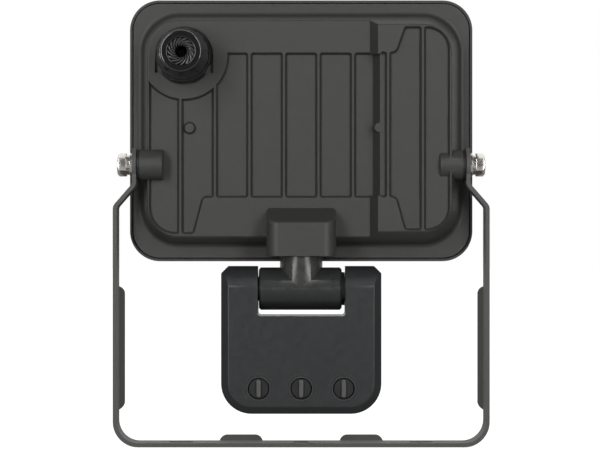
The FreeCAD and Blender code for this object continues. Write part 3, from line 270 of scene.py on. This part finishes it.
def finish(name, colour, roughness, grain, depth, mottle=0.12, waviness=0.0, metallic=0.0,
           stretch=(1, 1, 1), specular=0.5):
    """A surface with fine grain, slow colour drift and uneven gloss, all in real sizes."""
    material, tree, shader = new_material(name)
    shader.inputs["Metallic"].default_value = metallic
    shader.inputs["Specular IOR Level"].default_value = specular
    fine = noise(tree, grain, 3.0, stretch)
    slow = noise(tree, 3 * MM, 4.0)
    blend = new_maths(tree, "ShaderNodeMath", "ADD")
    link(tree, between(tree, fine, 0.0, 0.5), blend.inputs[0])
    link(tree, between(tree, slow, 0.0, 0.5), blend.inputs[1])
    link(tree, two_tone(tree, blend.outputs[0], shade(colour, 1 - mottle), shade(colour, 1 + mottle)),
         shader.inputs["Base Color"])
    link(tree, between(tree, slow, roughness - 0.05, roughness + 0.05), shader.inputs["Roughness"])
    normal = bump(tree, fine, depth)
    if waviness:
        normal = bump(tree, noise(tree, 1.6 * MM, 1.0), waviness, normal)
    link(tree, normal, shader.inputs["Normal"])
    return material


def clear(name, tint, roughness, ior, smudge):
    """Glass or clear plastic, with faint smudges in the gloss."""
    material, tree, shader = new_material(name)
    shader.inputs["Transmission Weight"].default_value = 1.0
    shader.inputs["IOR"].default_value = ior
    haze = noise(tree, 9 * MM, 4.0)
    link(tree, between(tree, haze, roughness, roughness + smudge, 0.5, 0.8), shader.inputs["Roughness"])
    link(tree, two_tone(tree, haze, tint, shade(tint, 0.97)), shader.inputs["Base Color"])
    return material


# ---------------------------------------------------------------- finishes
def make_finishes():
    """All finishes by name; each gives colour, roughness, grain size and grain depth, then the rest."""
    warm_grey = (0.036, 0.0357, 0.0340)
    made = {}

    def add(name, *look, **more):
        made[name] = finish(name, *look, **more)

    add("casting_paint", warm_grey, 0.50, 0.35 * MM, 0.030 * MM, 0.14, 0.012 * MM)
    add("frame_paint", shade(warm_grey, 0.92), 0.48, 0.35 * MM, 0.030 * MM, 0.14, 0.012 * MM)
    add("bracket_paint", (0.072, 0.072, 0.068), 0.62, 0.40 * MM, 0.028 * MM, 0.12, 0.012 * MM)
    add("stainless", (0.72, 0.69, 0.65), 0.20, 0.12 * MM, 0.004 * MM, 0.05, metallic=1.0,
        stretch=(3.0, 0.4, 0.4))
    add("zinc_steel", (0.55, 0.56, 0.58), 0.32, 0.25 * MM, 0.004 * MM, 0.08, metallic=1.0)
    add("friction_plastic", (0.010, 0.010, 0.010), 0.45, 0.3 * MM, 0.004 * MM)
    made["window_glass"] = clear("window_glass", (0.95, 0.98, 0.97), 0.0, 1.5, 0.02)
    add("silicone", (0.016, 0.016, 0.016), 0.62, 0.25 * MM, 0.006 * MM)
    add("white_reflector", (0.82, 0.82, 0.80), 0.42, 0.6 * MM, 0.006 * MM, 0.02)
    add("white_board", (0.78, 0.79, 0.76), 0.38, 0.5 * MM, 0.005 * MM, 0.03)
    add("led_phosphor", (0.86, 0.56, 0.05), 0.55, 0.08 * MM, 0.010 * MM, 0.10)
    add("led_package", (0.80, 0.80, 0.78), 0.40, 0.2 * MM, 0.003 * MM, 0.02)
    add("green_board", (0.010, 0.10, 0.030), 0.35, 0.7 * MM, 0.006 * MM, 0.2)
    add("transformer_tape", (0.55, 0.40, 0.04), 0.35, 0.5 * MM, 0.01 * MM, stretch=(1, 1, 6))
    add("capacitor_sleeve", (0.012, 0.012, 0.030), 0.25, 0.5 * MM, 0.003 * MM)
    add("black_epoxy", (0.015, 0.015, 0.015), 0.55, 0.12 * MM, 0.010 * MM)
    add("terminal_plastic", (0.68, 0.68, 0.64), 0.42, 0.3 * MM, 0.006 * MM, 0.05)
    add("mains_insulation", (0.11, 0.040, 0.014), 0.36, 0.4 * MM, 0.004 * MM)
    add("led_insulation", (0.42, 0.012, 0.010), 0.36, 0.4 * MM, 0.004 * MM)
    add("gland_nylon", (0.0085, 0.0085, 0.0088), 0.15, 0.5 * MM, 0.002 * MM, 0.10)
    add("nut_nylon", (0.0060, 0.0060, 0.0062), 0.11, 0.5 * MM, 0.0008 * MM, 0.10, specular=1.0)
    # paler copy of the gland nylon: painted light standing in for the lit tips of the fingers and fins
    add("gland_finger_painted_light", (0.070, 0.070, 0.068), 0.22, 0.5 * MM, 0.002 * MM)
    add("arm_plastic", (0.0215, 0.0222, 0.0230), 0.32, 0.35 * MM, 0.004 * MM, 0.10)
    add("neck_paint", (0.040, 0.0395, 0.036), 0.27, 0.35 * MM, 0.006 * MM, 0.12)
    add("cable_sheath", (0.012, 0.012, 0.012), 0.50, 0.4 * MM, 0.010 * MM)
    add("sensor_plastic", (0.0185, 0.0198, 0.0210), 0.40, 0.30 * MM, 0.012 * MM, 0.14)
    add("potentiometer_plastic", (0.02, 0.10, 0.38), 0.4, 0.3 * MM, 0.006 * MM)
    add("can_metal", (0.60, 0.58, 0.52), 0.28, 0.3 * MM, 0.003 * MM, 0.06, metallic=1.0)
    add("cell_face", (0.45, 0.16, 0.06), 0.25, 0.5 * MM, 0.003 * MM)
    # dial knobs: dial_plastic is the knob's own black deepened with painted shade for its recessed disc; the
    # blade finish is a lighter copy of it, painted light on the raised blade
    add("dial_plastic", (0.004, 0.004, 0.0042), 0.50, 0.3 * MM, 0.006 * MM)
    add("dial_blade_painted_light", (0.085, 0.085, 0.082), 0.34, 0.3 * MM, 0.006 * MM)
    add("scale_print", (0.055, 0.056, 0.057), 0.55, 0.2 * MM, 0.002 * MM)
    made["lens_plastic"] = milky_plastic()
    return made


def milky_plastic():
    """Translucent polyethylene; the rings of its small Fresnel lenses show faintly through."""
    material = finish("lens_plastic", (0.80, 0.80, 0.78), 0.34, 0.5 * MM, 0.004 * MM, 0.03)
    tree = material.node_tree
    shader = tree.nodes["Principled BSDF"]
    low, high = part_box("sensor_lens")
    cell_x = (high.x - low.x) / LENS_COLUMNS
    cell_z = (high.z - low.z) / LENS_ROWS
    place = tree.nodes.new("ShaderNodeTexCoord")
    count = tree.nodes.new("ShaderNodeMapping")
    count.inputs["Location"].default_value = (-low.x / cell_x, 0, -low.z / cell_z)
    count.inputs["Scale"].default_value = (1 / cell_x, 0, 1 / cell_z)
    within = new_maths(tree, "ShaderNodeVectorMath", "FRACTION")
    centred = new_maths(tree, "ShaderNodeVectorMath", "SUBTRACT")
    centred.inputs[1].default_value = (0.5, 0, 0.5)
    reach = new_maths(tree, "ShaderNodeVectorMath", "LENGTH")
    rings = new_maths(tree, "ShaderNodeMath", "MULTIPLY")
    rings.inputs[1].default_value = LENS_RINGS
    teeth = new_maths(tree, "ShaderNodeMath", "FRACT")
    link(tree, place.outputs["Object"], count.inputs["Vector"])
    link(tree, count.outputs["Vector"], within.inputs[0])
    link(tree, within.outputs["Vector"], centred.inputs[0])
    link(tree, centred.outputs["Vector"], reach.inputs[0])
    link(tree, reach.outputs["Value"], rings.inputs[0])
    link(tree, rings.outputs[0], teeth.inputs[0])
    below = shader.inputs["Normal"].links[0].from_socket
    link(tree, bump(tree, teeth.outputs[0], 0.05 * MM, below), shader.inputs["Normal"])
    shader.inputs["Subsurface Weight"].default_value = 0.6
    shader.inputs["Subsurface Radius"].default_value = (0.004, 0.004, 0.0036)
    shader.inputs["Subsurface Scale"].default_value = 0.5
    return material


# ---------------------------------------------------------------- softening the CAD nodes
def geometry_group(name):
    """An empty group of geometry nodes, with its input and output."""
    group = bpy.data.node_groups.new(name, "GeometryNodeTree")
    for way in ("INPUT", "OUTPUT"):
        group.interface.new_socket("Geometry", in_out=way, socket_type="NodeSocketGeometry")
    return group, group.nodes.new("NodeGroupInput"), group.nodes.new("NodeGroupOutput")


def tidy_normals_group():
    """Geometry nodes that drop the imported normals and join the split corners."""
    group, start, end = geometry_group("join_corners")
    drop = group.nodes.new("GeometryNodeRemoveAttribute")
    drop.inputs["Name"].default_value = "custom_normal"
    join = group.nodes.new("GeometryNodeMergeByDistance")
    join.inputs["Distance"].default_value = 1e-6
    group.links.new(start.outputs[0], drop.inputs["Geometry"])
    group.links.new(drop.outputs[0], join.inputs["Geometry"])
    group.links.new(join.outputs[0], end.inputs[0])
    return group


def smooth_group(limit):
    """Geometry nodes that shade smooth across edges flatter than the limit."""
    group, start, end = geometry_group("smooth_by_angle")
    angle = group.nodes.new("GeometryNodeInputMeshEdgeAngle")
    flat = group.nodes.new("FunctionNodeCompare")
    flat.operation = "LESS_EQUAL"
    flat.inputs["B"].default_value = limit
    edges = group.nodes.new("GeometryNodeSetShadeSmooth")
    edges.domain = "EDGE"
    faces = group.nodes.new("GeometryNodeSetShadeSmooth")
    faces.domain = "FACE"
    group.links.new(angle.outputs["Unsigned Angle"], flat.inputs["A"])
    group.links.new(start.outputs[0], edges.inputs["Geometry"])
    group.links.new(flat.outputs["Result"], edges.inputs["Shade Smooth"])
    group.links.new(edges.outputs[0], faces.inputs["Geometry"])
    group.links.new(faces.outputs[0], end.inputs[0])
    return group


JOIN_CORNERS = tidy_normals_group()
SMOOTH = smooth_group(SMOOTH_ANGLE)


def smooth_by_angle(piece):
    smooth = piece.modifiers.new("smooth", "NODES")
    smooth.node_group = SMOOTH


def soften(name, radius=0.0):
    """Round the edges of a CAD node by a small radius and shade its curved faces smooth."""
    node = NODES[name]
    join = node.modifiers.new("join", "NODES")
    join.node_group = JOIN_CORNERS
    if radius:
        merge = node.modifiers.new("merge", "DECIMATE")
        merge.decimate_type = "DISSOLVE"
        merge.angle_limit = math.radians(0.5)
        edge = node.modifiers.new("edge", "BEVEL")
        edge.width = radius
        edge.segments = BEVEL_SEGMENTS
        edge.limit_method = "ANGLE"
        edge.angle_limit = BEVEL_ANGLE
        edge.use_clamp_overlap = True
        edge.miter_outer = "MITER_ARC"
    smooth_by_angle(node)
    if name not in ROUND_NODES:
        even = node.modifiers.new("even", "WEIGHTED_NORMAL")
        even.weight = 100
        even.keep_sharp = True


EDGE_RADII = {
    "rear_housing": 0.22 * MM,
    "front_frame": 0.30 * MM,
    "mounting_bracket": 0.30 * MM,
    "sensor_back_cover": 0.45 * MM,
    "sensor_front_shell": 0.45 * MM,
    "hinge_bolts": 0.25 * MM,
    "terminal_block": 0.3 * MM,
    "driver_transformer": 0.3 * MM,
    "sensor_relay": 0.3 * MM,
    "front_glass": 0.3 * MM,
    "gland_body": 0.15 * MM,
}


def dress_nodes(finishes):
    """Give every CAD node its own finish and soft edges, then the parts that have two finishes; on the dials
    and the gland fingers the second finish is painted light.
    """
    for part in frame["record"]["subparts"]:
        name = part["node"]
        node = NODES[name]
        material = finishes[part["material_slot"]]
        node.data.materials.clear()
        node.data.materials.append(material)
        for face in node.data.polygons:
            face.material_index = 0
        soften(name, EDGE_RADII.get(name, 0.0))
    # the faces of each dial's raised blade take the lighter copy: painted light, beside the painted shade of
    # the disc
    for name in DIALS:
        node = NODES[name]
        node.data.materials.append(finishes["dial_blade_painted_light"])
        blade_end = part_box(name)[0].y + BLADE_DEPTH
        for face in node.data.polygons:
            if face.center.y < blade_end:
                face.material_index = 1
    paint_neck(finishes["neck_paint"])
    paint_fingers_lit(finishes["gland_finger_painted_light"])


def paint_fingers_lit(material):
    """The thin clamping fingers inside the gland get a paler, softer copy of the body's nylon: painted light
    standing in for their lit tips.
    """
    node = NODES["gland_body"]
    node.data.materials.append(material)
    low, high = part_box("gland_dome_nut")
    centre = (low + high) / 2
    for face in node.data.polygons:
        reach = math.hypot(face.center.x - centre.x, face.center.z - centre.z)
        if reach < FINGER_REACH and face.center.y < centre.y:
            face.material_index = 1


def paint_neck(material):
    """The upright neck of the arm is painted like the casting; the barrel stays bare plastic."""
    node = NODES["sensor_arm"]
    node.data.materials.append(material)
    low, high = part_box("sensor_arm")
    barrel_radius = (high.y - low.y) / 2
    axis_y = (high.y + low.y) / 2
    for face in node.data.polygons:
        reach = math.hypot(face.center.x, face.center.y - axis_y)
        upright = abs(face.normal.z) < 0.1 and reach > barrel_radius - 0.5 * MM
        if upright and face.center.z > low.z + barrel_radius:
            face.material_index = 1


# ---------------------------------------------------------------- detailed pieces
def add_piece(name, mesh, body, material):
    piece = bpy.data.objects.new(name, bpy.data.meshes.new(name))
    mesh.to_mesh(piece.data)
    mesh.free()
    SCENE.collection.objects.link(piece)
    piece.data.materials.append(material)
    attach(piece, body)
    return piece


def stitch(mesh, first, second):
    """Faces between two closed loops with the same number of vertices."""
    for i in range(len(first)):
        j = (i + 1) % len(first)
        mesh.faces.new((first[i], first[j], second[j], second[i]))


def loose_boxes(name):
    """Lowest and highest corners of each separate solid in a CAD node, in a fixed order."""
    mesh = bmesh.new()
    mesh.from_mesh(NODES[name].data)
    bmesh.ops.remove_doubles(mesh, verts=mesh.verts, dist=1e-6)
    waiting = set(mesh.verts)
    boxes = []
    while waiting:
        reached = [waiting.pop()]
        for vertex in reached:
            for edge in vertex.link_edges:
                other = edge.other_vert(vertex)
                if other in waiting:
                    waiting.remove(other)
                    reached.append(other)
        low = Vector([min(v.co[axis] for v in reached) for axis in range(3)])
        high = Vector([max(v.co[axis] for v in reached) for axis in range(3)])
        boxes.append((low, high))
    mesh.free()
    return sorted(boxes, key=lambda box: (round(box[0].x, 5), round(box[0].z, 5)))


def add_package(mesh, low, high):
    """Moulded body of one LED, with a dish in its face."""
    centre = (low + high) / 2
    size = high - low
    corners = bmesh.ops.create_cube(mesh, size=1.0)["verts"]
    for corner in corners:
        corner.co = centre + Vector([corner.co[axis] * size[axis] for axis in range(3)])
    faces = {face for corner in corners for face in corner.link_faces}
    front = max(faces, key=lambda face: face.calc_center_median().y)
    for thickness, depth in zip(PACKAGE_STEPS, (0.0, 0.0, -DISH_DEPTH)):
        bmesh.ops.inset_individual(mesh, faces=[front], thickness=thickness, depth=depth)


def add_pad(mesh, centre, half_x, half_z, rise, steps=24):
    """Closed, softly domed pad with rounded corners; centre is the middle of its base."""
    rings = []
    for share, height in ((1.0, 0.0), (0.98, 0.45), (0.8, 0.75), (0.45, 0.95)):
        ring = []
        for i in range(steps):
            angle = 2 * math.pi * i / steps
            across = math.copysign(abs(math.cos(angle)) ** 0.5, math.cos(angle))
            up = math.copysign(abs(math.sin(angle)) ** 0.5, math.sin(angle))
            offset = Vector((across * half_x * share, rise * height, up * half_z * share))
            ring.append(mesh.verts.new(centre + offset))
        rings.append(ring)
    top = mesh.verts.new(centre + Vector((0, rise, 0)))
    for inner, outer in zip(rings[1:], rings):
        for i in range(steps):
            j = (i + 1) % steps
            mesh.faces.new((outer[i], inner[i], inner[j], outer[j]))
    for i in range(steps):
        mesh.faces.new((rings[-1][i], top, rings[-1][(i + 1) % steps]))
    mesh.faces.new(rings[0])


def rounded_line(points, radii, steps=6):
    """Closed outline through the points, each corner turned into an arc of its radius."""
    line = []
    count = len(points)
    for i, (corner, radius) in enumerate(zip(points, radii)):
        corner = Vector(corner)
        back = (Vector(points[i - 1]) - corner).normalized()
        ahead = (Vector(points[(i + 1) % count]) - corner).normalized()
        if not radius:
            line.append(corner)
            continue
        half = back.angle(ahead) / 2
        cut = radius / math.tan(half)
        middle = corner + (back + ahead).normalized() * (radius / math.sin(half))
        first = (corner + back * cut - middle).normalized()
        last = (corner + ahead * cut - middle).normalized()
        for step in range(steps + 1):
            line.append(middle + first.slerp(last, step / steps) * radius)
    return line


def add_dome_nut(finishes):
    """Glossy clamping nut of the gland: fluted skirt, tapering dome, rounded lip round the cable way."""
    low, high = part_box("gland_dome_nut")
    centre = (low + high) / 2
    reach = (high.x - low.x) / 2
    tip, skirt = low.y, high.y
    outline = [(NUT_BORE, skirt / MM), (reach / MM, skirt / MM), (reach / MM, skirt / MM - NUT_SKIRT),
               (NUT_TIP, tip / MM), (NUT_WAY, tip / MM + NUT_LIP_SLOPE), (NUT_WAY, tip / MM + NUT_LIP),
               (NUT_BORE, tip / MM + NUT_INNER_CONE)]
    line = rounded_line(outline, NUT_ROUNDING)
    mesh = bmesh.new()
    rings = []
    for step in range(NUT_STEPS):
        angle = 2 * math.pi * step / NUT_STEPS
        flute = max(0.0, math.cos(FLUTES * angle)) ** 3 * FLUTE_DEPTH
        ring = []
        for radius, y in line:
            on_skirt = radius > reach / MM - FLUTED_BAND and y > skirt / MM - FLUTED_LENGTH
            out = (radius - (flute if on_skirt else 0.0)) * MM
            place = Vector((centre.x + out * math.cos(angle), y * MM, centre.z + out * math.sin(angle)))
            ring.append(mesh.verts.new(place))
        rings.append(ring)
    for first, second in zip(rings, rings[1:] + rings[:1]):
        stitch(mesh, first, second)
    bmesh.ops.recalc_face_normals(mesh, faces=mesh.faces)
    nut = add_piece("dome_nut", mesh, "lamp", finishes["nut_nylon"])
    smooth_by_angle(nut)
    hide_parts("gland_dome_nut")


def add_fins(finishes):
    """Curved tips of the clamping fingers, swirling in round the cable way just inside the nut."""
    low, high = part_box("gland_dome_nut")
    centre = (low + high) / 2
    front = low.y + FIN_SET_BACK
    mesh = bmesh.new()
    for i in range(FINS):
        start = 2 * math.pi * i / FINS
        slices = []
        for k in range(FIN_BENDS + 1):
            share = k / FIN_BENDS
            reach = FIN_OUTER + (FIN_INNER - FIN_OUTER) * share
            angle = start + FIN_SWIRL * share
            middle = Vector((centre.x + reach * math.cos(angle), 0, centre.z + reach * math.sin(angle)))
            half = reach * FIN_TAPER + FIN_LEAST
            lean = angle + FIN_LEAN
            across = Vector((math.cos(lean), 0, math.sin(lean)))
            dip = front + FIN_DIP * share
            slices.append([mesh.verts.new(middle + across * half * side + Vector((0, dip + depth * MM, 0)))
                           for side, depth in FIN_SECTION])
        for first, second in zip(slices, slices[1:]):
            stitch(mesh, first, second)
        mesh.faces.new(slices[0])
        mesh.faces.new(list(reversed(slices[-1])))
    bmesh.ops.recalc_face_normals(mesh, faces=mesh.faces)
    # the fins take the paler finger nylon, painted light for their lit tips
    fins = add_piece("clamping_fins", mesh, "lamp", finishes["gland_finger_painted_light"])
    smooth_by_angle(fins)


def add_leds(finishes):
    """A moulded package and a domed phosphor pad in place of each plain LED chip."""
    packages = bmesh.new()
    pads = bmesh.new()
    for low, high in loose_boxes("led_chips"):
        add_package(packages, low, high)
        size = high - low
        centre = (low + high) / 2
        centre.y = high.y - DISH_DEPTH
        add_pad(pads, centre, size.x / 2 - PAD_MARGIN, size.z / 2 - PAD_MARGIN, PAD_RISE)
    for mesh in (packages, pads):
        bmesh.ops.recalc_face_normals(mesh, faces=mesh.faces)
    package = add_piece("led_packages", packages, "lamp", finishes["led_package"])
    pad = add_piece("led_phosphor_pads", pads, "lamp", finishes["led_phosphor"])
    pad.data.shade_smooth()
    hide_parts("led_chips")
    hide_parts("led_chips")


def add_ring(mesh, centre, inner, outer, thickness, start=0.0, sweep=360.0, steps=72):
    """Flat ring or arc of ring facing -Y, closed all round; angles run from straight down."""
    whole = sweep >= 360
    count = steps if whole else steps + 1
    loops = []
    for i in range(count):
        angle = math.radians(start + sweep * i / steps)
        out = Vector((math.sin(angle), 0, -math.cos(angle)))
        back = Vector((0, thickness, 0))
        near, far = centre + out * inner, centre + out * outer
        loops.append([mesh.verts.new(place) for place in (near, far, far + back, near + back)])
    pairs = list(zip(loops, loops[1:] + loops[:1])) if whole else list(zip(loops, loops[1:]))
    for first, second in pairs:
        stitch(mesh, first, second)
    if not whole:
        mesh.faces.new(loops[0])
        mesh.faces.new(list(reversed(loops[-1])))


def add_scales(finishes):
    """Fine moulded ring and graduation round each dial, without any lettering."""
    mesh = bmesh.new()
    face_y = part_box("sensor_back_cover")[0].y
    for name in DIALS:
        low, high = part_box(name)
        centre = (low + high) / 2
        centre.y = face_y - SCALE_PROUD
        add_ring(mesh, centre, *RING_RADII, RING_DEPTH)
        add_ring(mesh, centre, *ARC_RADII, SCALE_DEPTH, SCALE_START, SCALE_SWEEP)
        for turn in range(SCALE_START, SCALE_START + SCALE_SWEEP + 1, MARK_SPACING):
            add_ring(mesh, centre, *MARK_RADII, SCALE_DEPTH, turn - MARK_WIDTH / 2, MARK_WIDTH, steps=2)
    bmesh.ops.recalc_face_normals(mesh, faces=mesh.faces)
    add_piece("dial_scales", mesh, "sensor_head", finishes["scale_print"])


# ---------------------------------------------------------------- build
SCENE.view_settings.view_transform = "Standard"
add_camera()
add_world()
for name, azimuth in STRIPS:
    add_softbox(name, azimuth, STRIP_ELEVATION, STRIP_WIDTH, STRIP_HEIGHT, STRIP_POWER)
add_floor()
FINISHES = make_finishes()
dress_nodes(FINISHES)
add_dome_nut(FINISHES)
add_fins(FINISHES)
add_leds(FINISHES)
add_scales(FINISHES)
